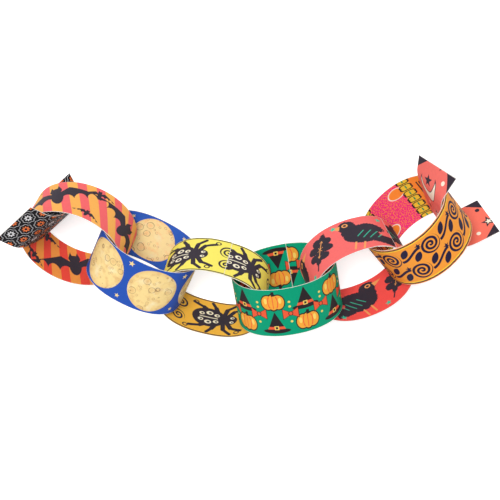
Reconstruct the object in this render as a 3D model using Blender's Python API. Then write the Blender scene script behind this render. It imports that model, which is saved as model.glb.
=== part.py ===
"""Paper chain garland, eight printed card strips hooked one through the next.

Six strips are bent round and glued into closed links. The first and the last
are open hooks with a straight glue tab at each free end. Every strip leans
over the other way from its neighbours, as a chain does when it is laid down.
"""

import math
from dataclasses import dataclass

import bmesh
import bpy
import numpy as np
from mathutils import Euler

# Sizes of one strip, in metres
STRIP_LENGTH = 0.203
STRIP_WIDTH = 0.035
CARD = 0.0003
LAP = 0.013
LAP_RAMP = 0.004
TAB = 0.012

# Least room kept between the card of two hooked strips
CLEARANCE = 0.0005

# Fineness of the outlines
FINE_POINTS = 1440
OUTLINE_STEPS = 116
ACROSS_SAMPLES = 15


@dataclass
class Strip:
    """How one strip is bent, and how it lies in the chain."""

    name: str
    colour: tuple
    heading: float  # degrees, turn of the long axis about +Z
    lean: float  # degrees, turn of the link about its own long axis
    squash: float  # height of the oval over its length
    bluntness: float  # 2 is an ellipse, and more is boxier
    slack: float = 0.0  # metres that it lies closer to the next link than it must
    seam: float = 0.0  # degrees round the oval to the outer cut end of the lap
    arms: tuple = ()  # an open hook's bent lengths on its two sides of the tip, in metres
    tip: float = 0.0  # degrees round the oval to an open hook's tip
    flare: float = 0.0  # degrees that an open hook's upper end leans out of square


STRIPS = (
    Strip("flower_end_strip", (0.10, 0.09, 0.09), -52, -57.5, 1.00, 3.5,
          arms=(0.0235, 0.031), tip=0),
    Strip("striped_link", (0.98, 0.62, 0.28), -21, 41.5, 0.78, 2.0,
          slack=0.0012, seam=-38),
    Strip("moon_link", (0.17, 0.33, 0.69), -26.5, -52.5, 0.83, 2.25,
          slack=0.0006, seam=20),
    Strip("yellow_link", (1.00, 0.88, 0.32), -13, 41.5, 0.74, 2.4, seam=84),
    Strip("green_link", (0.00, 0.60, 0.45), 10.5, -53.5, 0.79, 2.1,
          slack=0.0008, seam=60),
    Strip("red_link", (0.97, 0.40, 0.39), 22, 41.5, 0.80, 2.2, seam=38),
    Strip("orange_link", (0.97, 0.60, 0.21), 44, -51.5, 0.96, 2.05, seam=150),
    Strip("red_end_strip", (0.96, 0.42, 0.37), 27.5, 47.5, 1.05, 4.2,
          arms=(0.0235, 0.0405), tip=180, flare=17),
)


def oval(strip):
    """Points round a link's mid-line, with the distance walked to each of them.

    The oval is a superellipse as long round as the strip is, less the lap.
    """
    turn = np.linspace(0.0, 2.0 * math.pi, FINE_POINTS + 1)
    power = 2.0 / strip.bluntness
    x = np.sign(np.cos(turn)) * np.abs(np.cos(turn)) ** power
    y = np.sign(np.sin(turn)) * np.abs(np.sin(turn)) ** power * strip.squash
    points = np.stack([x, y], axis=1)
    steps = np.linalg.norm(np.diff(points, axis=0), axis=1)
    walked = np.concatenate([[0.0], np.cumsum(steps)])
    size = (STRIP_LENGTH - LAP) / walked[-1]
    return points * size, walked * size


def at(walk, strip):
    """Points and outward normals of the mid-line at some walked distances."""
    points, walked = oval(strip)
    round_length = walked[-1]
    walk = np.asarray(walk)

    def place(distance):
        distance = np.mod(distance, round_length)
        return np.stack([np.interp(distance, walked, points[:, i]) for i in (0, 1)], axis=1)

    nudge = round_length / FINE_POINTS
    along = place(walk + nudge) - place(walk - nudge)
    along /= np.linalg.norm(along, axis=1)[:, None]
    return place(walk), np.stack([along[:, 1], -along[:, 0]], axis=1)


def walk_to(degrees, strip):
    """The walked distance at an angle round the oval."""
    walked = oval(strip)[1]
    return np.interp(degrees % 360.0, np.linspace(0.0, 360.0, FINE_POINTS + 1), walked)


def closed_outlines(strip):
    """Outer and inner outline of a glued link, with the steps of its lap."""
    start = walk_to(strip.seam, strip)
    round_length = STRIP_LENGTH - LAP
    even = np.linspace(0.0, round_length, OUTLINE_STEPS + 1)[1:-1]
    marks = np.array([LAP, LAP + LAP_RAMP])
    even = even[np.abs(even[:, None] - marks).min(axis=1) > round_length / OUTLINE_STEPS / 3.0]

    # Outer face: up a step at the seam, level over the lap, then down the ramp
    outer_walk = np.sort(np.concatenate([[0.0, round_length], marks, even]))
    lift = np.interp(outer_walk, [0.0, LAP, LAP + LAP_RAMP, round_length], [1.0, 1.0, 0.0, 0.0])
    points, normals = at(start + outer_walk, strip)
    outer = points + normals * (CARD * (0.5 + lift))[:, None]

    # Inner face: the covered end stops with a step, and the ramp starts there
    inner_walk = np.sort(np.concatenate([[LAP, LAP + round_length], marks[1:], even + LAP_RAMP + LAP]))
    inner_walk = inner_walk[inner_walk <= LAP + round_length]
    inner_walk = inner_walk[(inner_walk <= LAP) | (inner_walk >= LAP + LAP_RAMP)]
    lift = np.interp(inner_walk, [LAP, LAP + LAP_RAMP, LAP + round_length], [1.0, 0.0, 0.0])
    points, normals = at(start + inner_walk, strip)
    inner = points + normals * (CARD * (lift - 0.5))[:, None]
    return [outer, inner]


def hook_path(strip):
    """Mid-line and normals of an open hook, with a straight tab at both ends."""
    tip = walk_to(strip.tip, strip)
    before, after = strip.arms
    count = max(8, round((before + after) / (STRIP_LENGTH - LAP) * OUTLINE_STEPS))
    points, normals = at(np.linspace(tip - before, tip + after, count), strip)
    first = points[0] + np.array([normals[0][1], -normals[0][0]]) * TAB
    last = points[-1] + np.array([-normals[-1][1], normals[-1][0]]) * TAB
    return np.vstack([first, points, last]), np.vstack([normals[0], normals, normals[-1]])


def hook_outlines(strip):
    """Outline of an open hook's cut edge."""
    points, normals = hook_path(strip)
    outer = points + normals * (CARD / 2.0)
    inner = points - normals * (CARD / 2.0)
    return [np.vstack([outer, inner[::-1]])]


def outlines(strip):
    return hook_outlines(strip) if strip.arms else closed_outlines(strip)


def half_length(strip):
    return oval(strip)[0][:, 0].max()


def turn_matrix(strip):
    return Euler((math.radians(strip.lean), 0.0, math.radians(strip.heading))).to_matrix()


def mid_line(strip):
    """Even points along the card's mid-line, from end to end."""
    if not strip.arms:
        return oval(strip)[0][:-1:12]
    corners = hook_path(strip)[0]
    walked = np.concatenate([[0.0], np.cumsum(np.linalg.norm(np.diff(corners, axis=0), axis=1))])
    even = np.linspace(0.0, walked[-1], OUTLINE_STEPS)
    return np.stack([np.interp(even, walked, corners[:, i]) for i in (0, 1)], axis=1)


def flare_stretch(points, strip):
    """How far each point of an open hook's upper arm is drawn away from the tip, as a share."""
    if not strip.flare:
        return 1.0
    path = hook_path(strip)[0]
    reach = path[path[:, 1] > 0.0, 0].max() + half_length(strip)
    lean = math.tan(math.radians(strip.flare)) * points[:, 2] / reach
    return np.where(points[:, 1] > 0.0, 1.0 + lean, 1.0)


def wall_samples(strip, centre, side):
    """World points over the half of a strip's band that faces one neighbour."""
    line = mid_line(strip)
    line = line[line[:, 0] * side > 0.0]
    across = np.linspace(-0.5, 0.5, ACROSS_SAMPLES) * STRIP_WIDTH
    local = np.array([(x, y, z) for x, y in line for z in across])
    tip_x = -half_length(strip)
    local[:, 0] = tip_x + (local[:, 0] - tip_x) * flare_stretch(local, strip)
    return local @ np.array(turn_matrix(strip)).T + centre


def depth_inside(samples, strip, centre):
    """How far the samples within or near a link's opening are inside it, at least."""
    local = (samples - centre) @ np.array(turn_matrix(strip))
    tip_x = -half_length(strip)
    local[:, 0] = tip_x + (local[:, 0] - tip_x) / flare_stretch(local, strip)
    size = oval(strip)[0].max(axis=0)
    local = local[np.abs(local[:, 2]) < STRIP_WIDTH / 2.0]
    if strip.arms:
        towards_tip = 1.0 if strip.tip == 0 else -1.0
        lower_end, upper_end = sorted(hook_path(strip)[0][[0, -1]], key=lambda end: end[1])
        end_x = np.where(local[:, 1] > 0.0, upper_end[0], lower_end[0])
        local = local[(local[:, 0] - end_x) * towards_tip > 0.0]
    share = np.abs(local[:, :2]) / size
    level = (share ** strip.bluntness).sum(axis=1) ** (1.0 / strip.bluntness)
    reach = np.linalg.norm(local[:, :2], axis=1)
    near = level < 1.2
    if not near.any():
        return math.inf
    return (reach / level - reach)[near].min()


def step_between(left, right, distance):
    """Level step from one link's centre to the next, at the mean of their headings."""
    heading = math.radians((left.heading + right.heading) / 2.0)
    return np.array([math.cos(heading), math.sin(heading), 0.0]) * distance


def touching_distance(left, right):
    """The longest centre distance at which two hooked bands still clear each other."""
    both = half_length(left) + half_length(right)
    lift = np.array([0.0, 0.0, rest_height(right) - rest_height(left)])
    near, far = both * 0.55, both
    while far - near > CARD / 20.0:
        distance = (near + far) / 2.0
        step = step_between(left, right, distance) + lift
        room = min(
            depth_inside(wall_samples(left, np.zeros(3), 1.0), right, step),
            depth_inside(wall_samples(right, step, -1.0), left, np.zeros(3)),
        )
        if room > CARD + CLEARANCE:
            near = distance
        else:
            far = distance
    return near


def rest_height(strip):
    """Height of a link's centre when its lowest rim touches the floor."""
    lean = math.radians(strip.lean)
    lowest = min((outline[:, 1] * math.sin(lean)).min() for outline in outlines(strip))
    return STRIP_WIDTH / 2.0 * abs(math.cos(lean)) - lowest


def card_material(strip):
    material = bpy.data.materials.new(strip.name + "_card")
    material.use_nodes = True
    shader = material.node_tree.nodes["Principled BSDF"]
    shader.inputs["Base Color"].default_value = (*strip.colour, 1.0)
    shader.inputs["Roughness"].default_value = 0.6
    shader.inputs["Metallic"].default_value = 0.0
    return material


def flat_curve(name, loops):
    """A filled flat outline, thickened to the strip's width."""
    curve = bpy.data.curves.new(name, "CURVE")
    curve.dimensions = "2D"
    curve.fill_mode = "BOTH"
    curve.extrude = STRIP_WIDTH / 2.0
    for loop in loops:
        spline = curve.splines.new("POLY")
        spline.points.add(len(loop) - 1)
        for point, (x, y) in zip(spline.points, loop):
            point.co = (x, y, 0.0, 1.0)
        spline.use_cyclic_u = True
    return curve


def solid_mesh(curve_object):
    """The curve's own solid as a closed mesh, with its caps welded on."""
    evaluated = curve_object.evaluated_get(bpy.context.evaluated_depsgraph_get())
    mesh = bpy.data.meshes.new_from_object(evaluated)
    shape = bmesh.new()
    shape.from_mesh(mesh)
    bmesh.ops.remove_doubles(shape, verts=shape.verts, dist=CARD / 100.0)
    shape.to_mesh(mesh)
    shape.free()
    return mesh


def lean_upper_end(mesh, strip):
    """Lean the rulings of a hook's upper arm, more and more towards its cut end."""
    tip_x = -half_length(strip)
    points = np.array([vertex.co for vertex in mesh.vertices])
    stretch = flare_stretch(points, strip)
    for vertex, share in zip(mesh.vertices, stretch):
        vertex.co.x = tip_x + (vertex.co.x - tip_x) * share


def make_strip(strip, centre, parent, collection):
    curve = flat_curve(strip.name, outlines(strip))
    source = bpy.data.objects.new(strip.name + "_outline", curve)
    collection.objects.link(source)
    mesh = solid_mesh(source)
    bpy.data.objects.remove(source)
    bpy.data.curves.remove(curve)
    if strip.flare:
        lean_upper_end(mesh, strip)
    mesh.materials.clear()
    mesh.materials.append(card_material(strip))
    mesh.name = strip.name
    part = bpy.data.objects.new(strip.name, mesh)
    collection.objects.link(part)
    part.parent = parent
    part.location = centre
    part.rotation_euler = (math.radians(strip.lean), 0.0, math.radians(strip.heading))
    mesh.shade_smooth()
    mesh.set_sharp_from_angle(angle=math.radians(35))
    return part


def chain_centres():
    """Centres of all the links, each hooked on the one before it."""
    centres = [np.array([0.0, 0.0, rest_height(STRIPS[0])])]
    for left, right in zip(STRIPS, STRIPS[1:]):
        distance = touching_distance(left, right) - left.slack
        centre = centres[-1] + step_between(left, right, distance)
        centre[2] = rest_height(right)
        centres.append(centre)
    return centres


def stand_on_origin(parent, parts):
    """Move the chain so that the middle of its box's foot is at the origin."""
    bpy.context.view_layer.update()
    corners = np.array([part.matrix_world @ vertex.co for part in parts for vertex in part.data.vertices])
    low = corners.min(axis=0)
    high = corners.max(axis=0)
    parent.location = (-(low[0] + high[0]) / 2.0, -(low[1] + high[1]) / 2.0, -low[2])
    bpy.context.view_layer.update()


def main():
    for old in list(bpy.data.objects):
        bpy.data.objects.remove(old)
    collection = bpy.data.collections.new("paper_chain_garland")
    bpy.context.scene.collection.children.link(collection)
    chain = bpy.data.objects.new("chain", None)
    collection.objects.link(chain)
    parts = [make_strip(strip, centre, chain, collection) for strip, centre in zip(STRIPS, chain_centres())]
    stand_on_origin(chain, parts)


main()
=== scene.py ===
# %% [markdown]
# # Paper chain garland
# A paper chain is made of printed card strips. Each strip is hooked through the
# last one and glued into a link. This garland has eight strips: six closed links
# and an open hook at each end. It lies on a white surface and is seen from above.
#
# The packed CAD model is the frame: it says where every strip is. Here each of
# its solids is shown as a bent band of card with a print on both faces.

import math
from dataclasses import dataclass

import bmesh
import bpy
import numpy as np
from mathutils import Euler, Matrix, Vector


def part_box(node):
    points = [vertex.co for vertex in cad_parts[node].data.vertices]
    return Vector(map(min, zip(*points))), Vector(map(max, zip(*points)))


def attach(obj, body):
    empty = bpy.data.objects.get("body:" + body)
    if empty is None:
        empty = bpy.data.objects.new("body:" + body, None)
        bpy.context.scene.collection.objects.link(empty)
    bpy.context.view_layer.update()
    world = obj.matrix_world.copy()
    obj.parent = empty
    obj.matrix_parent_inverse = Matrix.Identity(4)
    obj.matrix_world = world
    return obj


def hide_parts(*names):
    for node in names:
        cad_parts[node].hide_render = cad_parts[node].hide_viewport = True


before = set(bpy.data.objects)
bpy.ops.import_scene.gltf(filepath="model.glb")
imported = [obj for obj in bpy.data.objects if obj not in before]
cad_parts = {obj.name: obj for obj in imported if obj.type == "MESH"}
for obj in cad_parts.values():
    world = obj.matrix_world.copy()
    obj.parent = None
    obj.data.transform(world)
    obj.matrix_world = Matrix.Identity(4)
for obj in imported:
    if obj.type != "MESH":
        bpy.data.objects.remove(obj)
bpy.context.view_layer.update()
print("CAD nodes:", sorted(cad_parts))

# %% [markdown]
# ## The strips
# All eight strips are cut to one size, as in a packet of gummed strips. A link
# could be a curve with some thickness, but then it would not lie exactly where
# the CAD solid is. So the same few values that shape the CAD are used again:
# where a strip points, how far it leans, and how flat and how boxy its oval is.

# %% Size of one strip, in metres
STRIP_LENGTH = 0.203
STRIP_WIDTH = 0.035
CARD = 0.0003
LAP = 0.013
LAP_RAMP = 0.004
TAB = 0.012
print(f"A strip is {STRIP_LENGTH * 1000:.0f} by {STRIP_WIDTH * 1000:.0f} mm, its lap {LAP * 1000:.0f} mm")

# %% How each strip is bent
@dataclass
class Strip:
    name: str
    heading: float  # degrees, turn of the long axis about +Z
    lean: float  # degrees, turn of the strip about its own long axis
    squash: float  # height of the oval over its length
    bluntness: float  # 2 is an ellipse, and more is boxier
    seam: float = 0.0  # degrees round the oval to the outer cut end of the lap
    arms: tuple = ()  # an open hook's bent lengths on the two sides of its tip, in metres
    tip: float = 0.0  # degrees round the oval to an open hook's tip
    flare: float = 0.0  # degrees that an open hook's upper end leans out of square


STRIPS = (
    Strip("flower_end_strip", -52, -57.5, 1.00, 3.5, arms=(0.0235, 0.031), tip=0),
    Strip("striped_link", -21, 41.5, 0.78, 2.0, seam=-38),
    Strip("moon_link", -26.5, -52.5, 0.83, 2.25, seam=20),
    Strip("yellow_link", -13, 41.5, 0.74, 2.4, seam=84),
    Strip("green_link", 10.5, -53.5, 0.79, 2.1, seam=60),
    Strip("red_link", 22, 41.5, 0.80, 2.2, seam=38),
    Strip("orange_link", 44, -51.5, 0.96, 2.05, seam=150),
    Strip("red_end_strip", 27.5, 47.5, 1.05, 4.2, arms=(0.0235, 0.0405), tip=180, flare=17),
)
print("Strips:", ", ".join(strip.name for strip in STRIPS))

# %% [markdown]
# ## The line of a strip
# Seen along its width, a link is a superellipse: an oval that a power makes
# rounder or boxier. Blender's own circles have no such shape, so a formula gives
# the points, and numpy measures how far along the card each one is. With that
# length, the glued lap and the two cut ends fall where they do on a real strip.

# %% The oval of a link
FINE_POINTS = 1440


def oval(strip):
    turn = np.linspace(0.0, 2.0 * math.pi, FINE_POINTS + 1)
    power = 2.0 / strip.bluntness
    x = np.sign(np.cos(turn)) * np.abs(np.cos(turn)) ** power
    y = np.sign(np.sin(turn)) * np.abs(np.sin(turn)) ** power * strip.squash
    points = np.stack([x, y], axis=1)
    steps = np.linalg.norm(np.diff(points, axis=0), axis=1)
    walked = np.concatenate([[0.0], np.cumsum(steps)])
    size = (STRIP_LENGTH - LAP) / walked[-1]
    return points * size, walked * size


def at(walk, strip):
    points, walked = oval(strip)
    nudge = walked[-1] / FINE_POINTS

    def place(distance):
        distance = np.mod(distance, walked[-1])
        return np.stack([np.interp(distance, walked, points[:, i]) for i in (0, 1)], axis=1)

    along = place(walk + nudge) - place(walk - nudge)
    along /= np.linalg.norm(along, axis=1)[:, None]
    return place(walk), np.stack([along[:, 1], -along[:, 0]], axis=1)


def walk_to(degrees, strip):
    return np.interp(degrees % 360.0, np.linspace(0.0, 360.0, FINE_POINTS + 1), oval(strip)[1])


for strip in STRIPS:
    print(f"{strip.name}: {oval(strip)[0][:, 0].max() * 2000:.1f} mm long inside the chain")

# %% [markdown]
# The top layer of a lap lies one card further out, with a hair of room, and comes
# down over a short ramp. Two separate ends could be laid on each other, but one
# line with a step in it keeps the card a single piece. An open hook is only a
# part of the oval, and its card runs on straight at both ends. The last strip's
# upper end is also twisted a little out of square, which `flare_stretch` does by
# making one side of it longer.

# %% From cut end to cut end
STEPS_ALONG = 232
TOP_LAYER = CARD * 1.03


def strip_line(strip):
    if not strip.arms:
        length = np.linspace(0.0, STRIP_LENGTH, STEPS_ALONG + 1)
        lift = np.interp(length, [0.0, LAP, LAP + LAP_RAMP, STRIP_LENGTH], [1.0, 1.0, 0.0, 0.0])
        points, normals = at(walk_to(strip.seam, strip) + length, strip)
        return points + normals * (lift * TOP_LAYER)[:, None], normals, length
    before, after = strip.arms
    length = np.linspace(0.0, before + after + 2.0 * TAB, STEPS_ALONG + 1)
    start = walk_to(strip.tip, strip) - before - TAB
    bent = np.clip(length, TAB, TAB + before + after)
    points, normals = at(start + bent, strip)
    along = np.stack([-normals[:, 1], normals[:, 0]], axis=1)
    return points + along * (length - bent)[:, None], normals, length


def flare_stretch(y, z, strip, line):
    if not strip.flare:
        return np.ones(len(y))
    half = oval(strip)[0][:, 0].max()
    reach = line[line[:, 1] > 0.0, 0].max() + half
    lean = math.tan(math.radians(strip.flare)) * z / reach
    return np.where(y > 0.0, 1.0 + lean, 1.0)


for strip in STRIPS:
    print(f"{strip.name}: {strip_line(strip)[2][-1] * 1000:.1f} mm from cut end to cut end")

# %% [markdown]
# ## One bent band
# The card has real thickness, so that its white cut edge shows. A grid goes
# along the strip one way and round the card's section the other way: outer face,
# rim, inner face, rim. Its two long sides meet and are merged. A Solidify
# modifier could thicken a plain sheet, but the step of the lap would suffer.

# %% The section of the card
STEPS_ACROSS = 8


def section():
    """Round the section of the card: place across, side of the card, and the face that starts there."""
    across = np.linspace(-0.5, 0.5, STEPS_ACROSS + 1)
    outer = [(place, 0.5, 0) for place in across]
    inner = [(place, -0.5, 1) for place in across[::-1]]
    outer[-1] = (0.5, 0.5, 2)
    inner[-1] = (-0.5, -0.5, 2)
    return outer + inner


print("Faces in one band:", STEPS_ALONG * len(section()) + 2)

# %% Bending a grid into a band
def make_band(strip, materials):
    ring = section()
    line, normals, length = strip_line(strip)
    mesh = bmesh.new()
    bmesh.ops.create_grid(mesh, x_segments=STEPS_ALONG, y_segments=len(ring), size=1.0)
    # The flat grid runs from -1 to 1, so a vertex's place in it gives its row and column
    place = {}
    for vertex in mesh.verts:
        i = round((vertex.co.x + 1.0) / 2.0 * STEPS_ALONG)
        j = round((vertex.co.y + 1.0) / 2.0 * len(ring))
        place[vertex.index] = (i, j)
    index = np.array([place[vertex.index] for vertex in mesh.verts])
    across = np.array([ring[j % len(ring)][0] for j in index[:, 1]]) * STRIP_WIDTH
    side = np.array([ring[j % len(ring)][1] for j in index[:, 1]]) * CARD
    flat = line[index[:, 0]] + normals[index[:, 0]] * side[:, None]
    tip_x = -oval(strip)[0][:, 0].max()
    local = np.column_stack([flat, across])
    stretch = flare_stretch(local[:, 1], across, strip, line)
    local[:, 0] = tip_x + (local[:, 0] - tip_x) * stretch
    turn = Euler((math.radians(strip.lean), 0.0, math.radians(strip.heading))).to_matrix()
    world = local @ np.array(turn).T
    low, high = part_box(strip.name)
    world += (np.array(low) + np.array(high)) / 2.0 - (world.min(axis=0) + world.max(axis=0)) / 2.0
    for vertex, point in zip(mesh.verts, world):
        vertex.co = point
    return finish_band(mesh, strip, ring, place, length, materials)


print("The band is moved so that its box has the same middle as its CAD solid")

# %% [markdown]
# The UV map named "strip" says where each point was on the flat strip, so that a
# print bends with the card. On a face that is seen from the other side, one
# direction runs backwards, so that no print is mirrored. Three material slots
# hold the outer print, the inner print and the cut edge.

# %% The map and the slots of a band
def finish_band(mesh, strip, ring, place, length, materials):
    strip_map = mesh.loops.layers.uv.new("strip")
    turned = strip.lean > 0.0
    for face in mesh.faces:
        row = min(place[vertex.index][1] for vertex in face.verts)
        face.material_index = ring[row][2]
        face.smooth = True
        for loop in face.loops:
            i, j = place[loop.vert.index]
            along = length[i] / STRIP_LENGTH
            across = ring[j % len(ring)][0]
            if turned:
                along = 1.0 - along
                across = -across
            if face.material_index == 1 and turned:
                along = 1.0 - along
            elif face.material_index == 1:
                across = -across
            loop[strip_map].uv = (along, across + 0.5)
    bmesh.ops.remove_doubles(mesh, verts=mesh.verts, dist=CARD / 20.0)
    ends = bmesh.ops.holes_fill(mesh, edges=[edge for edge in mesh.edges if edge.is_boundary])
    for face in ends["faces"]:
        face.material_index = 2
    bmesh.ops.recalc_face_normals(mesh, faces=mesh.faces)
    data = bpy.data.meshes.new(strip.name + "_band")
    mesh.to_mesh(data)
    mesh.free()
    for material in materials:
        data.materials.append(material)
    data.set_sharp_from_angle(angle=math.radians(35))
    band = bpy.data.objects.new(strip.name + "_band", data)
    bpy.context.scene.collection.objects.link(band)
    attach(band, "root")
    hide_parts(strip.name)
    return band


print("Slots: 0 outer face, 1 inner face, 2 cut edge")

# %% [markdown]
# ## Drawing with shader nodes
# The prints could be pictures, but a picture blurs close up and belongs to one
# file. Here they are drawn by maths. A `Field` is a number at every point of the
# print. Each shape is a distance in millimetres that is below zero inside it,
# so two shapes are joined by taking the smaller number at each point.

# %% Colours, and the size of a print in millimetres
PRINT_LENGTH = STRIP_LENGTH * 1000.0
PRINT_WIDTH = STRIP_WIDTH * 1000.0


def colour(text):
    """Linear colour from the usual six hex digits."""
    parts = [int(text[i : i + 2], 16) / 255.0 for i in (0, 2, 4)]
    linear = [part / 12.92 if part <= 0.04045 else ((part + 0.055) / 1.055) ** 2.4 for part in parts]
    return (*linear, 1.0)


print("Six digits to a linear colour:", tuple(round(part, 3) for part in colour("FFB659")))
print("A print is", PRINT_LENGTH, "by", PRINT_WIDTH, "mm")

# %% Fields
class Field:
    def __init__(self, tree, socket):
        self.tree = tree
        self.socket = socket

    def math(self, operation, *others, first=None):
        node = self.tree.nodes.new("ShaderNodeMath")
        node.operation = operation
        terms = (self, *others) if first is None else (first, self, *others)
        for term, socket in zip(terms, node.inputs):
            if isinstance(term, Field):
                self.tree.links.new(term.socket, socket)
            else:
                socket.default_value = term
        return Field(self.tree, node.outputs[0])

    def __add__(self, other):
        return self.math("ADD", other)

    def __sub__(self, other):
        return self.math("SUBTRACT", other)

    def __rsub__(self, other):
        return self.math("SUBTRACT", first=other)

    def __mul__(self, other):
        return self.math("MULTIPLY", other)

    def __truediv__(self, other):
        return self.math("DIVIDE", other)

    def __abs__(self):
        return self.math("ABSOLUTE")

    def __neg__(self):
        return self.math("MULTIPLY", -1.0)


print("A field can:", ", ".join(name.strip("_") for name, item in vars(Field).items() if callable(item)))

# %% [markdown]
# A `Sketch` is one print in a node group. Its colours are inputs, so that the
# two faces of one strip can share a drawing in two tints. `ink` lays one colour
# over a shape, as a printer lays one ink over the last.

# %% A sketch
class Sketch:
    def __init__(self, name, colours):
        self.tree = bpy.data.node_groups.new(name, "ShaderNodeTree")
        face = self.tree.interface
        for label in ("Along", "Across"):
            face.new_socket(label, in_out="INPUT", socket_type="NodeSocketFloat")
        for label, shade in colours.items():
            socket = face.new_socket(label, in_out="INPUT", socket_type="NodeSocketColor")
            socket.default_value = colour(shade)
        face.new_socket("Color", in_out="OUTPUT", socket_type="NodeSocketColor")
        self.source = self.tree.nodes.new("NodeGroupInput")
        self.x = Field(self.tree, self.source.outputs["Along"])
        self.y = Field(self.tree, self.source.outputs["Across"])
        self.paint = self.source.outputs[list(colours)[0]]

    def cover(self, mask, label):
        """Lay one of the print's colours over what is there, where the mask is 1."""
        node = self.tree.nodes.new("ShaderNodeMix")
        node.data_type = "RGBA"
        # In this mode the two colours are inputs 6 and 7, and the result is output 2
        self.tree.links.new(mask.socket, node.inputs[0])
        self.tree.links.new(self.paint, node.inputs[6])
        self.tree.links.new(self.source.outputs[label], node.inputs[7])
        self.paint = node.outputs[2]

    def ink(self, shape, label, softness=0.15):
        mask = (0.5 - shape / softness).math("MAXIMUM", 0.0).math("MINIMUM", 1.0)
        self.cover(mask, label)

    def noise(self, scale, detail=2.0):
        """Soft noise over the print, about 0 to 1."""
        node = self.tree.nodes.new("ShaderNodeTexNoise")
        node.inputs["Scale"].default_value = scale
        node.inputs["Detail"].default_value = detail
        self.tree.links.new(self.point(), node.inputs["Vector"])
        return Field(self.tree, node.outputs[0])

    def cells(self, scale):
        """Distance to the nearest of scattered points, for craters and specks."""
        node = self.tree.nodes.new("ShaderNodeTexVoronoi")
        node.inputs["Scale"].default_value = scale
        self.tree.links.new(self.point(), node.inputs["Vector"])
        return Field(self.tree, node.outputs["Distance"])

    def point(self):
        node = self.tree.nodes.new("ShaderNodeCombineXYZ")
        self.tree.links.new(self.x.socket, node.inputs[0])
        self.tree.links.new(self.y.socket, node.inputs[1])
        return node.outputs[0]

    def done(self):
        target = self.tree.nodes.new("NodeGroupOutput")
        self.tree.links.new(self.paint, target.inputs["Color"])
        return self.tree


print("A sketch can:", ", ".join(name for name in vars(Sketch) if not name.startswith("_")))

# %% Joining, repeating and turning
def low(*shapes):
    """All of the shapes together."""
    total = shapes[0]
    for shape in shapes[1:]:
        total = total.math("MINIMUM", shape)
    return total


def high(*shapes):
    """Only where the shapes overlap."""
    total = shapes[0]
    for shape in shapes[1:]:
        total = total.math("MAXIMUM", shape)
    return total


def length_of(x, y):
    return (x * x + y * y).math("SQRT")


def repeat(value, period, start=0.0):
    """Offset from the nearest of evenly spaced places."""
    return (value - start).math("WRAP", period / 2.0, -period / 2.0)


def turned(x, y, cx, cy, degrees):
    c = math.cos(math.radians(degrees))
    s = math.sin(math.radians(degrees))
    dx = x - cx
    dy = y - cy
    return dx * c + dy * s, dy * c - dx * s


print("Two shapes: low joins them, high keeps where they overlap")

# %% Plain shapes
def ellipse(x, y, cx, cy, rx, ry):
    return (length_of((x - cx) / rx, (y - cy) / ry) - 1.0) * min(rx, ry)


def wedge(x, y, top, foot, half):
    """A triangle that points up."""
    slope = half / (top - foot)
    return high((abs(x) - (top - y) * slope) * 0.9, foot - y)


def block(x, y, half_x, half_y):
    return high(abs(x) - half_x, abs(y) - half_y)


print("Plain shapes:", ", ".join(shape.__name__ for shape in (ellipse, wedge, block)))

# %% Strokes, crescents and stars
def stroke(x, y, start, end, half):
    """A line with round ends."""
    slope = math.degrees(math.atan2(end[1] - start[1], end[0] - start[0]))
    px, py = turned(x, y, *start, slope)
    beyond = px - px.math("MAXIMUM", 0.0).math("MINIMUM", math.dist(start, end))
    return length_of(beyond, py) - half


def crescent(x, y, cx, cy, size, bite):
    """A disc less a smaller disc that is moved to one side."""
    disc = ellipse(x, y, cx, cy, size, size)
    hole = ellipse(x, y, cx + bite, cy + bite * 0.3, size * 0.86, size * 0.86)
    return high(disc, -hole)


def star(x, y, size):
    """A star with five points and straight sides."""
    angle = y.math("ARCTAN2", x)
    step = 2.0 * math.pi / 5
    fold = abs((angle - math.pi / 2.0).math("WRAP", step / 2.0, -step / 2.0))
    reach = length_of(x, y)
    px = reach * fold.math("COSINE") - size
    py = reach * fold.math("SINE")
    inner = size * 0.42
    edge_x = inner * math.cos(step / 2.0) - size
    edge_y = inner * math.sin(step / 2.0)
    scale = math.hypot(edge_x, edge_y)
    return (py * -edge_x + px * edge_y) / scale


print("More shapes:", ", ".join(shape.__name__ for shape in (stroke, crescent, star)))

# %% [markdown]
# ## Daisies
# The first strip is black with rows of small daisies in white and orange, each
# in a wavy outline. They could be set out one by one, but they repeat, so three
# grids of `repeat` place them all, with every other row moved on by half a step.
# The cosine of eight times the angle makes the petals.

# %% Daisies on black
prints = {}


def daisy_print():
    sketch = Sketch("Daisy print", {"Ground": "100D12", "Light": "E4E2E4", "Petal": "F07A40"})
    for step, start_x, start_y, petal in (
        (10.15, 0.0, 0.0, "Petal"),
        (20.3, 5.075, 8.75, "Light"),
        (20.3, 15.225, 8.75, "Petal"),
    ):
        x = repeat(sketch.x, step, start_x)
        y = repeat(sketch.y, 17.5, start_y)
        reach = length_of(x, y)
        wave = (y.math("ARCTAN2", x) * 8.0).math("COSINE")
        sketch.ink(abs(reach - 4.15 - wave * 0.3) - 0.14, "Light", 0.12)
        sketch.ink(reach - 2.1 - wave * 0.55, petal)
        sketch.ink(reach - 0.95, "Ground")
    return sketch.done()


prints["daisy"] = daisy_print()
print("Daisy print:", len(prints["daisy"].nodes), "nodes")

# %% [markdown]
# ## Bats
# The second strip has slanting stripes with bats that fly along it. A wing could
# be a long curve, but plain shapes are easier to change: it is the space under
# two straight lines, less three round bites. Since it is drawn on the distance
# from the middle, the other wing comes for nothing. A little noise roughens the
# outline, as ink does on card.

# %% Stripes and bats
BLACK = "352D38"


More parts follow.
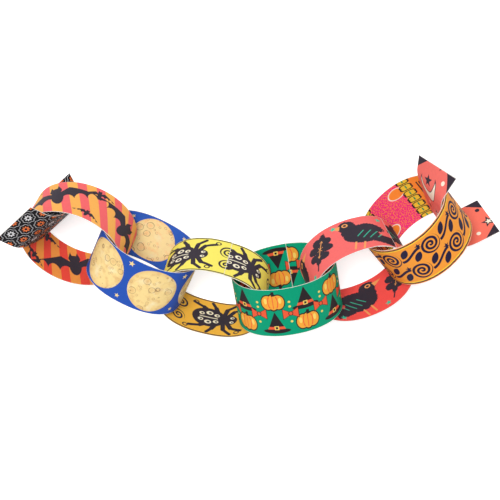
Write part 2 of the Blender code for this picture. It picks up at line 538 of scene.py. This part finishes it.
def bat(x, y, tilt, size):
    x, y = turned(x / size, y / size, 0.0, 0.0, tilt)
    side = abs(x)
    wing = high(
        (y - 1.5 - side * 0.62) * 0.85,
        (y + side * 0.55 - 8.8) * 0.88,
        -3.6 - y,
        -ellipse(side, y, 4.4, -5.4, 3.0, 4.8),
        -ellipse(side, y, 10.2, -5.2, 3.0, 4.8),
        -ellipse(side, y, 15.4, -4.8, 2.4, 4.4),
    )
    body = ellipse(x, y, 0.0, -0.8, 2.7, 6.0)
    head = ellipse(x, y, 0.0, 4.6, 2.7, 2.4)
    ear = wedge(side - 1.6, y, 9.0, 5.2, 1.1)
    return low(wing, body, head, ear) * size


def bat_print():
    sketch = Sketch("Stripe and bat print", {"Ground": "FFB659", "Stripe": "F96A6C", "Ink": BLACK})
    slanted = sketch.x + sketch.y * 0.42
    sketch.ink(abs(repeat(slanted, 13.0)) - 3.1, "Stripe")
    for start, drop, tilt, size in ((23.0, 0.5, 24.0, 1.45), (73.75, -0.5, -28.0, 1.35)):
        x = repeat(sketch.x, 101.5, start)
        shape = bat(x, sketch.y - drop, tilt, size)
        rough = (sketch.noise(1.2) - 0.5) * 0.5
        sketch.ink(shape + rough, "Ink")
    x = repeat(sketch.x, 50.75, 48.4)
    sketch.ink(bat(x, sketch.y - 11.0, 8.0, 0.5), "Ink")
    sketch.ink(bat(x + 2.0, sketch.y + 11.5, -12.0, 0.44), "Ink")
    return sketch.done()


prints["bat"] = bat_print()
print("Bat print:", len(prints["bat"].nodes), "nodes")

# %% [markdown]
# ## Moons
# The third strip is blue with large pale moons. The craters could be circles set
# one by one, but scattered ones look more natural. Voronoi cells give them: where
# the distance to the nearest point is near one value, there is a ring. Soft noise
# adds lighter and darker patches, and the disc works as a mask for it all.

# %% Cratered moons on blue
def moon_print():
    sketch = Sketch(
        "Moon print",
        {"Ground": "2A55B4", "Moon": "FBDC96", "Shade": "E0B274", "Dark": "8A6248", "Pale": "FFEEC0"},
    )
    discs = []
    for start, drop, size in ((6.0, 0.3, 16.4), (43.0, -0.3, 15.9)):
        x = repeat(sketch.x, 74.0, start)
        discs.append(ellipse(x, sketch.y, 0.0, drop, size, size))
    disc = low(*discs)
    sketch.ink(disc, "Moon")
    inside = (0.5 - disc / 0.2).math("MAXIMUM", 0.0).math("MINIMUM", 1.0)
    rim = (disc * 0.16 + 0.55).math("MAXIMUM", 0.0) * (sketch.noise(0.09) + 0.35)
    sketch.cover((rim * inside).math("MINIMUM", 1.0), "Shade")
    blotch = (sketch.noise(0.22, 5.0) - 0.5).math("MAXIMUM", 0.0) * 3.4
    sketch.cover((blotch * inside).math("MINIMUM", 0.8), "Shade")
    glow = (0.47 - sketch.noise(0.12, 3.0)).math("MAXIMUM", 0.0) * 5.0
    sketch.cover((glow * inside).math("MINIMUM", 1.0), "Pale")
    for scale, size in ((0.12, 0.3), (0.26, 0.24)):
        crater = sketch.cells(scale)
        ring = (1.0 - abs(crater - size) * 26.0).math("MAXIMUM", 0.0)
        fade = (sketch.noise(0.3) * 2.2 - 0.4).math("MAXIMUM", 0.0)
        sketch.cover((ring * inside * fade).math("MINIMUM", 0.75), "Dark")
        bowl = ((size - crater) * 3.0).math("MAXIMUM", 0.0).math("MINIMUM", 0.6)
        sketch.cover(bowl * inside, "Shade")
    x = repeat(sketch.x, 37.0, 24.5)
    sketch.ink(star(x, sketch.y - 13.4, 2.2), "Moon")
    sketch.ink(star(x + 1.0, sketch.y + 13.4, 1.7), "Moon")
    return sketch.done()


prints["moon"] = moon_print()
print("Moon print:", len(prints["moon"].nodes), "nodes")

# %% [markdown]
# ## Spiders
# The fourth strip has black spiders with light spots, and curls between them.
# A leg could be a curve, but at this size two strokes are enough, from hip to
# knee to foot, for one side only and then mirrored. A curl is a spiral: the
# distance from its middle, less a share of the angle, wrapped into even turns.

# %% Spiders and curls on yellow
def spider_print():
    sketch = Sketch("Spider and curl print", {"Ground": "FFE457", "Ink": BLACK, "Light": "FFF6D8"})
    x = repeat(sketch.x, 50.75, 14.0)
    y = sketch.y
    side = abs(y)
    for hip, knee, foot in (
        ((6.5, 2.0), (10.5, 8.6), (17.5, 11.4)),
        ((4.5, 2.0), (5.8, 10.2), (10.6, 14.6)),
        ((2.0, 2.0), (-1.6, 10.6), (-4.4, 14.8)),
        ((0.0, 2.0), (-9.6, 9.6), (-16.5, 12.0)),
    ):
        sketch.ink(low(stroke(x, side, hip, knee, 1.5), stroke(x, side, knee, foot, 1.1)), "Ink")
    body = low(ellipse(x, y, -5.0, 0.0, 11.0, 9.2), ellipse(x, y, 8.0, 0.0, 5.6, 5.0))
    sketch.ink(body + (sketch.noise(1.3) - 0.5) * 0.6, "Ink")
    for cx, level, size in ((-10.0, 3.0, 1.8), (-5.0, 4.6, 2.3), (0.0, 3.2, 1.8), (10.2, 2.2, 1.4)):
        sketch.ink(ellipse(x, side, cx, level, size, size * 0.8), "Light")
        sketch.ink(ellipse(x, side, cx + 0.3, level, size * 0.45, size * 0.4), "Ink")
    sketch.ink(high(abs(y) - 0.35, abs(x + 5.0) - 6.0), "Light")
    x = repeat(sketch.x, 50.75, 40.0)
    for middle, size, flip in ((5.8, 5.6, 1.0), (-7.2, 4.8, -1.0)):
        reach = length_of(x, sketch.y - middle)
        angle = (sketch.y - middle).math("ARCTAN2", x * flip)
        turn = (reach - angle * 0.42).math("WRAP", 2.64, 0.0)
        curl = high(abs(turn - 1.32) - 0.66, reach - size)
        sketch.ink(curl, "Ink")
    for start, level in ((29.0, -13.0), (49.5, 12.6), (32.5, 12.8), (46.0, -13.4)):
        dot = repeat(sketch.x, 50.75, start)
        sketch.ink(abs(ellipse(dot, sketch.y, 0.0, level, 1.5, 1.3)) - 0.35, "Ink")
    sketch.ink(abs(abs(sketch.y) - 16.6) - 0.45, "Ink")
    return sketch.done()


prints["spider"] = spider_print()
print("Spider print:", len(prints["spider"].nodes), "nodes")

# %% [markdown]
# ## Pumpkins and hats
# The fifth strip has pumpkins, pointed hats and bows in rows on green. Each is a
# few ellipses, wedges and blocks. The black outline of a pumpkin could be a line
# of its own, but it is simpler to ink the same shape in black first, a little
# larger, and then the orange on top.

# %% Pumpkins
FIGURE_STEP = 40.6


def pumpkin(x, y):
    side = abs(x)
    return low(ellipse(side, y, 2.6, 0.0, 3.0, 4.0), ellipse(x, y, 0.0, 0.0, 2.6, 4.4))


def ink_pumpkins(sketch):
    larger = 1.28
    for start, level in ((0.0, -9.0), (FIGURE_STEP / 2.0, 8.0)):
        x = repeat(sketch.x, FIGURE_STEP, start) / larger
        y = (sketch.y - level) / larger
        shape = pumpkin(x, y)
        sketch.ink(shape - 0.5, "Ink")
        sketch.ink(shape, "Orange")
        ribs = low(abs(ellipse(x, y, 0.0, 0.0, 2.4, 4.6)) - 0.22, abs(x) - 0.2)
        sketch.ink(high(ribs, shape + 0.4), "Red")
        sketch.ink(ellipse(abs(x), y, 3.6, 0.8, 0.8, 1.7), "Light")
        sketch.ink(block(x - 0.4, y - 4.9, 0.75, 1.3), "Ink")


print("Pumpkins repeat every", FIGURE_STEP, "mm")

# %% Hats and bows
def ink_hats(sketch):
    larger = 1.28
    for start, level in ((FIGURE_STEP / 2.0, -10.2), (0.0, 5.4)):
        x = repeat(sketch.x, FIGURE_STEP, start) / larger
        y = (sketch.y - level) / larger
        cone = wedge(x, y, 8.6, -2.2, 4.6)
        sketch.ink(low(cone, ellipse(x, y, 0.0, -2.6, 6.8, 1.5)), "Ink")
        sketch.ink(high(abs(y + 0.9) - 0.8, cone), "Red")
        sketch.ink(block(x, y + 0.9, 1.1, 1.15), "Light")
        sketch.ink(block(x, y + 0.9, 0.6, 0.65), "Ink")


def ink_bows(sketch):
    larger = 1.15
    for start, level in ((FIGURE_STEP / 4.0, -0.6), (FIGURE_STEP * 0.75, -1.4)):
        x = repeat(sketch.x, FIGURE_STEP, start) / larger
        y = (sketch.y - level) / larger
        loops = high(abs(x) - 4.2, abs(y) - 0.5 - abs(x) * 0.62)
        knot = ellipse(x, y, 0.0, 0.0, 1.15, 1.25)
        sketch.ink(loops - 0.35, "Ink")
        sketch.ink(loops, "Red")
        sketch.ink(knot, "Red")
        sketch.ink(abs(knot) - 0.2, "Ink")
        for drop in (4.6, 7.6, -5.2):
            sketch.ink(ellipse(x, y, 0.0, drop, 0.7, 0.7), "Light")


print("Hats and bows fill the gaps between the pumpkins")

# %% Pumpkins, pointed hats and bows on green
def pumpkin_print():
    sketch = Sketch(
        "Pumpkin and hat print",
        {"Ground": "009C74", "Ink": "2A2326", "Orange": "F5A83C", "Red": "EE5D3A", "Light": "F9D66A"},
    )
    ink_pumpkins(sketch)
    ink_hats(sketch)
    ink_bows(sketch)
    return sketch.done()


prints["pumpkin"] = pumpkin_print()
print("Pumpkin print:", len(prints["pumpkin"].nodes), "nodes")

# %% [markdown]
# ## Crows
# The sixth strip has large crows and oak leaves on red. A crow could be one long
# outline, but a few plain shapes in one ink melt together just as well: here they
# are four ellipses and a tail. The pale beak, eye and legs and the mint feathers
# come on top, and the rough edge of the ink makes the bird look feathered.

# %% Crows
CROW_STEP = 112.0


def ink_crows(sketch, rough):
    larger = 1.42
    for start, level, tilt, flip in ((16.0, 0.5, 16.0, 1.0), (72.0, 0.0, 20.0, -1.0)):
        x = repeat(sketch.x, CROW_STEP, start) * (flip / larger)
        x, y = turned(x, (sketch.y - level) / larger, 0.0, 0.0, tilt)
        body = ellipse(x, y, -0.6, -1.6, 8.4, 5.6)
        head = ellipse(x, y, 6.8, 5.0, 4.1, 3.9)
        neck = ellipse(x, y, 4.6, 1.6, 4.4, 5.0)
        tail = high(abs(y + 3.6) - 2.7 + (x + 8.0) * 0.12, abs(x + 11.0) - 4.8)
        wing = ellipse(x, y, -3.4, 4.0, 6.6, 3.4)
        sketch.ink(low(body, head, neck, tail, wing) + rough, "Ink")
        beak = high(abs(y - 4.6) - 1.5 + (x - 10.0) * 0.34, 10.0 - x, x - 14.4)
        sketch.ink(beak, "Pale")
        sketch.ink(abs(ellipse(x, y, 7.7, 6.0, 1.1, 1.0)) - 0.3, "Pale")
        feathers = high(abs(repeat(x + y * 0.5, 3.1)) - 0.22, ellipse(x, y, -3.6, -0.6, 6.2, 3.0))
        sketch.ink(feathers, "Mint")
        legs = high(abs(abs(x + 0.4) - 2.0) - 0.42, abs(y + 9.0) - 2.6)
        sketch.ink(legs, "Pale")


print("Two crows in every", CROW_STEP, "mm")

# %% Leaves
def ink_leaves(sketch, rough):
    larger = 1.2
    for start, level, tilt in ((44.0, 2.5, 62.0), (100.0, -2.0, -58.0)):
        x = repeat(sketch.x, CROW_STEP, start) / larger
        x, y = turned(x, (sketch.y - level) / larger, 0.0, 0.0, tilt)
        lobes = low(
            ellipse(x, abs(y), -5.0, 3.2, 2.6, 3.4),
            ellipse(x, abs(y), 0.2, 4.0, 2.7, 4.0),
            ellipse(x, abs(y), 5.0, 2.8, 2.7, 3.0),
            ellipse(x, y, 0.0, 0.0, 10.6, 2.8),
        )
        sketch.ink(lobes + rough * 0.6, "Ink")
        veins = low(abs(y) - 0.22, abs(abs(y) - abs(repeat(x, 5.2)) * 1.1) - 0.2)
        sketch.ink(high(veins, lobes + 1.3), "Pale")
        sketch.ink(high(abs(y) - 0.45, abs(x + 11.5) - 2.4), "Ink")


print("Two leaves in every", CROW_STEP, "mm")

# %% Crows and leaves on red
def crow_print():
    sketch = Sketch(
        "Crow and leaf print",
        {"Ground": "F96F6C", "Ink": "322A36", "Mint": "3FC9A4", "Pale": "F9A862"},
    )
    rough = (sketch.noise(1.1, 1.0) - 0.5) * 1.5
    ink_crows(sketch, rough)
    ink_leaves(sketch, rough)
    for start, level in ((31.5, -13.0), (57.0, 13.0), (87.0, 12.6), (0.5, -13.6)):
        x = repeat(sketch.x, CROW_STEP, start)
        sketch.ink(star(x, sketch.y - level, 2.4), "Mint")
    return sketch.done()


prints["crow"] = crow_print()
print("Crow print:", len(prints["crow"].nodes), "nodes")

# %% [markdown]
# ## Scrolls
# The seventh strip is orange outside, with two rows of dark scrolls and sprigs,
# and a black and a yellow line along both rims. The rim lines could be straight,
# but they read a noisy distance from the middle, so that they waver like lines
# drawn by hand. A scroll is wound like the curls of the fourth strip.

# %% Scrolls on orange
def scroll_print():
    sketch = Sketch("Scroll print", {"Ground": "FA9E3A", "Ink": "241E3C", "Line": "FFDC40"})
    for level, period, start in ((7.0, 29.0, 2.0), (-7.2, 29.0, 16.5)):
        x = repeat(sketch.x, period, start) / 1.38
        y = (sketch.y - level) / 1.38
        reach = length_of(x, y)
        turn = (reach - y.math("ARCTAN2", x) * 0.334).math("WRAP", 2.1, 0.0)
        sketch.ink(high(abs(turn - 1.05) - 0.62, reach - 4.9), "Ink")
        x = repeat(sketch.x, period, start + period / 2.0) / 1.38
        stem = abs(y - (x * 0.3).math("SINE") * 2.2) - 0.75
        sketch.ink(high(stem, abs(x) - 5.6), "Ink")
        for cx, cy, tilt in ((-2.4, 2.2, 50.0), (2.6, -2.3, 50.0)):
            px, py = turned(x, y, cx, cy, tilt)
            leaf = high(ellipse(px, py, 0.0, 1.0, 3.4, 2.6), ellipse(px, py, 0.0, -1.0, 3.4, 2.6))
            sketch.ink(leaf, "Ink")
        sketch.ink(star(x - 5.2, y - 3.2, 1.7), "Ink")
    edge = abs(sketch.y) + (sketch.noise(0.35) - 0.5) * 0.8
    sketch.ink(abs(edge - 16.3) - 0.45, "Ink")
    sketch.ink(abs(edge - 15.3) - 0.3, "Line")
    return sketch.done()


prints["scroll"] = scroll_print()
print("Scroll print:", len(prints["scroll"].nodes), "nodes")

# %% [markdown]
# ## Speckles
# The inside of that strip has another print: speckled pink panels, leafy borders
# and orange fields with double bars. The speckle could be a grid of dots, but
# noise cut off at one level gives uneven flecks, which look more like ink. The
# panels are ranges of the distance from the middle of the repeat.

# %% Speckled panels and leafy borders
def speckle_print():
    sketch = Sketch(
        "Speckle and leaf print",
        {
            "Ground": "F83686",
            "Speck": "FF9438",
            "Pale": "FFF3E4",
            "Leaf": "F2CE3C",
            "Ink": "2C2429",
            "Green": "3C9A5A",
        },
    )
    specks = sketch.noise(1.15, 1.0)
    sketch.ink(0.56 - specks, "Speck", 0.03)
    x = repeat(sketch.x, 62.0, 20.0)
    for cx, cy in ((8.5, 10.5), (-8.5, -10.5)):
        oval = ellipse(x, sketch.y, cx, cy, 5.4, 3.8)
        sketch.ink(oval - 0.6, "Pale")
        sketch.ink(oval, "Speck")
    panel = 12.6 - abs(x)
    sketch.ink(panel, "Speck")
    leaf_x = abs(abs(x) - 16.4)
    leaf_y = abs(repeat(sketch.y, 5.6))
    leaves = ellipse(leaf_x, leaf_y, 1.2, 0.8, 3.0, 1.5)
    sketch.ink(high(leaf_x - 3.6, panel), "Leaf")
    sketch.ink(abs(leaves) - 0.3, "Ink")
    sketch.ink(high(leaf_x - 0.5, leaf_y - 1.3), "Green")
    far = abs(repeat(x, 62.0, 31.0))
    bars = abs(abs(far - 5.4) - 1.0) - 0.5
    sketch.ink(high(bars, abs(sketch.y) - 12.5), "Ink")
    blade = abs(repeat(sketch.y, 11.0))
    sketch.ink(high(ellipse(far, blade, 0.0, 2.4, 2.6, 3.0), -far), "Leaf")
    sketch.ink(high(abs(ellipse(far, blade, 0.0, 2.4, 2.6, 3.0)) - 0.3, -far), "Ink")
    return sketch.done()


prints["speckle"] = speckle_print()
print("Speckle print:", len(prints["speckle"].nodes), "nodes")

# %% [markdown]
# ## Crescents
# The last strip has pale crescents, dark stars and black corners at its cut
# ends. A crescent could be two arcs, but a disc less a second disc beside it
# needs no new kind of shape.

# %% Crescents and stars on red
END_STRIP_LENGTH = 88.0


def crescent_print():
    sketch = Sketch("Crescent print", {"Ground": "F7746A", "Ink": BLACK, "Light": "FFF3DC"})
    x = repeat(sketch.x, 40.0, 26.0)
    moon = crescent(x, sketch.y, 0.0, 2.0, 9.4, 4.4)
    sketch.ink(moon - 0.6, "Ink")
    sketch.ink(moon, "Light")
    sketch.ink(star(x - 4.4, sketch.y - 3.0, 4.4), "Ink")
    x = repeat(sketch.x, 40.0, 6.0)
    sketch.ink(star(x, sketch.y + 4.4, 5.0), "Ink")
    sketch.ink(star(x, sketch.y + 4.4, 2.6), "Light")
    sketch.ink(ellipse(x, sketch.y, -2.0, 9.0, 1.5, 1.5), "Ink")
    sketch.ink(ellipse(x, sketch.y, 4.0, 6.0, 1.0, 1.0), "Light")
    x = repeat(sketch.x, 40.0, 36.0)
    sketch.ink(ellipse(x, sketch.y, 0.0, -10.5, 1.5, 1.5), "Light")
    for end in (0.0, END_STRIP_LENGTH, PRINT_LENGTH - END_STRIP_LENGTH, PRINT_LENGTH):
        sketch.ink(9.0 - abs(sketch.y) + abs(sketch.x - end) * 0.85, "Ink")
    return sketch.done()


prints["crescent"] = crescent_print()
print("Crescent print:", len(prints["crescent"].nodes), "nodes")

# %% [markdown]
# ## Card
# All of the strips are the same matt card. Its ink lies a little unevenly, a hair
# of bare card shows along the cut edges and at the cut ends, and the surface has
# a fine grain. Each material could have its own nodes for this, but the three
# effects are one node group, which every print goes through, so that a change
# here changes all of the strips.

# %% Uneven ink and bare edges
BARE_RIM = 17.32
BARE_END = 0.35


def uneven_ink(tree, point, paint):
    """The print with darker and lighter patches, and the noise that makes them."""
    mottle = tree.nodes.new("ShaderNodeTexNoise")
    mottle.inputs["Scale"].default_value = 0.5
    mottle.inputs["Detail"].default_value = 6.0
    tree.links.new(point, mottle.inputs["Vector"])
    patches = Field(tree, mottle.outputs[0])
    shade = tree.nodes.new("ShaderNodeVectorMath")
    shade.operation = "SCALE"
    tree.links.new(paint, shade.inputs[0])
    tree.links.new((patches * 0.12 + 0.94).socket, shade.inputs["Scale"])
    return shade.outputs[0], patches


def bare_card(tree, along, across, patches, paint):
    """The print with unprinted card at its cut edges and ends."""
    fray = (patches - 0.5) * 0.25
    rims = (abs(across) + fray - BARE_RIM) / 0.1
    ends = (BARE_END - low(along, PRINT_LENGTH - along) + fray) / 0.1
    bare = rims.math("MAXIMUM", ends).math("MAXIMUM", 0.0).math("MINIMUM", 1.0)
    mix = tree.nodes.new("ShaderNodeMix")
    mix.data_type = "RGBA"
    mix.inputs[7].default_value = colour("F3EFE8")
    tree.links.new(bare.socket, mix.inputs[0])
    tree.links.new(paint, mix.inputs[6])
    return mix.outputs[2]


print("Bare card starts", BARE_RIM, "mm from the middle of the strip")

# %% Grain, and the finish as a group
def card_grain(tree, point):
    """Roughness and normal of fine-grained card."""
    grain = tree.nodes.new("ShaderNodeTexNoise")
    grain.inputs["Scale"].default_value = 3.5
    grain.inputs["Detail"].default_value = 4.0
    tree.links.new(point, grain.inputs["Vector"])
    bump = tree.nodes.new("ShaderNodeBump")
    bump.inputs["Strength"].default_value = 0.12
    bump.inputs["Distance"].default_value = 0.0001
    tree.links.new(grain.outputs[0], bump.inputs["Height"])
    return (Field(tree, grain.outputs[0]) * 0.15 + 0.5).socket, bump.outputs[0]


def card_finish():
    tree = bpy.data.node_groups.new("Card finish", "ShaderNodeTree")
    face = tree.interface
    for label, kind in (("Along", "Float"), ("Across", "Float"), ("Print", "Color")):
        face.new_socket(label, in_out="INPUT", socket_type="NodeSocket" + kind)
    for label, kind in (("Color", "Color"), ("Roughness", "Float"), ("Normal", "Vector")):
        face.new_socket(label, in_out="OUTPUT", socket_type="NodeSocket" + kind)
    source = tree.nodes.new("NodeGroupInput")
    target = tree.nodes.new("NodeGroupOutput")
    point = tree.nodes.new("ShaderNodeCombineXYZ")
    for label, socket in (("Along", point.inputs[0]), ("Across", point.inputs[1])):
        tree.links.new(source.outputs[label], socket)
    along = Field(tree, source.outputs["Along"])
    across = Field(tree, source.outputs["Across"])
    paint, patches = uneven_ink(tree, point.outputs[0], source.outputs["Print"])
    paint = bare_card(tree, along, across, patches, paint)
    roughness, normal = card_grain(tree, point.outputs[0])
    for label, socket in (("Color", paint), ("Roughness", roughness), ("Normal", normal)):
        tree.links.new(socket, target.inputs[label])
    return tree


finish_group = card_finish()
print("Card finish:", len(finish_group.nodes), "nodes")

# %% [markdown]
# A face's material reads the map, turns it into millimetres, and passes it to
# its print and then to the finish. The Principled shader stays in the material.
# Card is not shiny, so its specular level is low.

# %% Materials of the card
def printed_card(name, drawing, shift, tints_and_painted_light):
    material = bpy.data.materials.new(name)
    material.use_nodes = True
    tree = material.node_tree
    link = tree.links.new
    where = tree.nodes.new("ShaderNodeUVMap")
    where.uv_map = "strip"
    parts = tree.nodes.new("ShaderNodeSeparateXYZ")
    link(where.outputs[0], parts.inputs[0])
    along = Field(tree, parts.outputs[0]) * PRINT_LENGTH
    drawn = along - shift
    across = (Field(tree, parts.outputs[1]) - 0.5) * PRINT_WIDTH
    art = tree.nodes.new("ShaderNodeGroup")
    art.node_tree = prints[drawing]
    finish = tree.nodes.new("ShaderNodeGroup")
    finish.node_tree = finish_group
    link(drawn.socket, art.inputs["Along"])
    link(along.socket, finish.inputs["Along"])
    for node in (art, finish):
        link(across.socket, node.inputs["Across"])
    # On an inner face these tints are painted light and painted shade for the inside of the chain; on an
    # outer face they are print colours.
    for label, shade in tints_and_painted_light.items():
        art.inputs[label].default_value = colour(shade)
    link(art.outputs["Color"], finish.inputs["Print"])
    shader = tree.nodes["Principled BSDF"]
    shader.inputs["Specular IOR Level"].default_value = 0.12
    link(finish.outputs["Color"], shader.inputs["Base Color"])
    link(finish.outputs["Roughness"], shader.inputs["Roughness"])
    link(finish.outputs["Normal"], shader.inputs["Normal"])
    return material


print("Each material has two groups: its print, and", finish_group.name)

# %% The cut edge
cut_edge = bpy.data.materials.new("Cut edge")
cut_edge.use_nodes = True
edge_shader = cut_edge.node_tree.nodes["Principled BSDF"]
edge_shader.inputs["Base Color"].default_value = colour("F1EDE6")
edge_shader.inputs["Roughness"].default_value = 0.8
print("Cut edge:", cut_edge.name)

# %% [markdown]
# ## The bands
# Each row names the print of the outer face and of the inner face, how far along
# the print starts in millimetres, and the colours that differ. The tints of the
# inner faces are painted light and painted shade: lighter, or deeper as from
# coloured bounce light, to stand in for the shade inside the chain.

# %% Bands with their prints
# Inner-face tints are painted light and painted shade: the same print made lighter, or deeper as from
# coloured bounce light.
FACES = {
    "flower_end_strip": (("daisy", 0.0, {}), ("daisy", 3.0, {"Petal": "D9642C"})),
    "striped_link": (("bat", -8.0, {}), ("bat", 40.0, {"Ground": "FFA24A", "Stripe": "FA5040"})),
    "moon_link": (
        ("moon", 30.0, {}),
        ("moon", -3.0, {"Moon": "FFE6A8", "Shade": "FFCB8E", "Ground": "3361C6"}),
    ),
    "yellow_link": (("spider", 10.0, {"Ground": "FFF06A"}), ("spider", -10.0, {"Ground": "FFC246"})),
    "green_link": (("pumpkin", 0.0, {}), ("pumpkin", 0.0, {"Ground": "00A57B"})),
    "red_link": (("crow", 0.0, {}), ("crow", -8.0, {"Ground": "FF5650"})),
    "orange_link": (("scroll", 0.0, {}), ("speckle", 14.0, {})),
    "red_end_strip": (("crescent", 0.0, {}), ("crescent", 0.0, {"Ground": "FB7864"})),
}
bands = []
for strip in STRIPS:
    outer, inner = FACES[strip.name]
    outside = printed_card(strip.name + " outside", *outer)
    inside = printed_card(strip.name + " inside", *inner)
    bands.append(make_band(strip, (outside, inside, cut_edge)))
print("Bands:", ", ".join(f"{band.name} {len(band.data.polygons)} faces" for band in bands))

# %% [markdown]
# ## Surface
# The surface under the chain is plain white. A white that is only lit would be
# grey in the shade of the strips, so the part that the camera sees also glows a
# little. The shadows stay, but only the close ones show, as in a shop's picture.

# %% White surface
FLOOR_GLOW = 0.58
FLOOR_DROP = 0.0002


def floor_material():
    material = bpy.data.materials.new("White surface")
    material.use_nodes = True
    tree = material.node_tree
    shader = tree.nodes["Principled BSDF"]
    shader.inputs["Base Color"].default_value = (0.86, 0.86, 0.87, 1.0)
    shader.inputs["Roughness"].default_value = 0.9
    shader.inputs["Specular IOR Level"].default_value = 0.1
    path = tree.nodes.new("ShaderNodeLightPath")
    seen = Field(tree, path.outputs["Is Camera Ray"])
    for kind in ("Is Glossy Ray", "Is Transmission Ray"):
        seen = seen.math("MAXIMUM", Field(tree, path.outputs[kind]))
    glow = seen * FLOOR_GLOW
    shader.inputs["Emission Color"].default_value = (1.0, 1.0, 1.0, 1.0)
    tree.links.new(glow.socket, shader.inputs["Emission Strength"])
    return material


floor_mesh = bmesh.new()
bmesh.ops.create_grid(floor_mesh, x_segments=1, y_segments=1, size=4.0)
floor_data = bpy.data.meshes.new("floor")
floor_mesh.to_mesh(floor_data)
floor_mesh.free()
floor_data.materials.append(floor_material())
floor = bpy.data.objects.new("floor", floor_data)
floor.location.z = -FLOOR_DROP
bpy.context.scene.collection.objects.link(floor)
print("Floor:", floor.dimensions.x, "m square")

# %% [markdown]
# ## Light
# The light in the picture is soft and comes from above. Area lamps could give it,
# but they light one end of a long chain more than the other. So an even sky fills
# the insides of the links, and one broad lamp like the sun, tilted a little to
# one side, gives their walls some soft shade.

# %% Sky and lamp
world = bpy.data.worlds.new("Even sky")
bpy.context.scene.world = world
world.use_nodes = True
sky = world.node_tree.nodes["Background"]
sky.inputs["Color"].default_value = (0.97, 0.985, 1.0, 1.0)
sky.inputs["Strength"].default_value = 0.5

lamp_data = bpy.data.lights.new("broad lamp", "SUN")
lamp_data.energy = 2.1
lamp_data.angle = math.radians(28)
lamp = bpy.data.objects.new("broad lamp", lamp_data)
lamp.rotation_euler = (math.radians(-2), math.radians(-9), 0.0)
bpy.context.scene.collection.objects.link(lamp)
print("Sky strength", sky.inputs["Strength"].default_value, "and lamp energy", lamp_data.energy)

# %% [markdown]
# ## Camera
# The camera looks down almost straight, from 85 degrees above the surface. Its
# lens is long, as the links look the same size all along the chain.

# %% Camera
ELEVATION = math.radians(85)
DISTANCE = 1.4
TARGET = Vector((-0.0004, 0.0008, 0.0))

camera_data = bpy.data.cameras.new("camera")
camera_data.sensor_width = 36.0
camera_data.lens = 154.5
camera_data.clip_start = 0.05
camera_data.clip_end = 20.0
camera = bpy.data.objects.new("camera", camera_data)
camera.location = TARGET + Vector((0.0, -math.cos(ELEVATION), math.sin(ELEVATION))) * DISTANCE
camera.rotation_euler = (math.radians(90) - ELEVATION, 0.0, 0.0)
bpy.context.scene.collection.objects.link(camera)
bpy.context.scene.camera = camera
bpy.context.scene.view_settings.view_transform = "Standard"
print("Camera at", tuple(round(part, 3) for part in camera.location))

# %% [markdown]
# ## The bands and the CAD
# The box of each band should be the same as the box of its CAD solid to a hair,
# because the bands follow the CAD's own values.
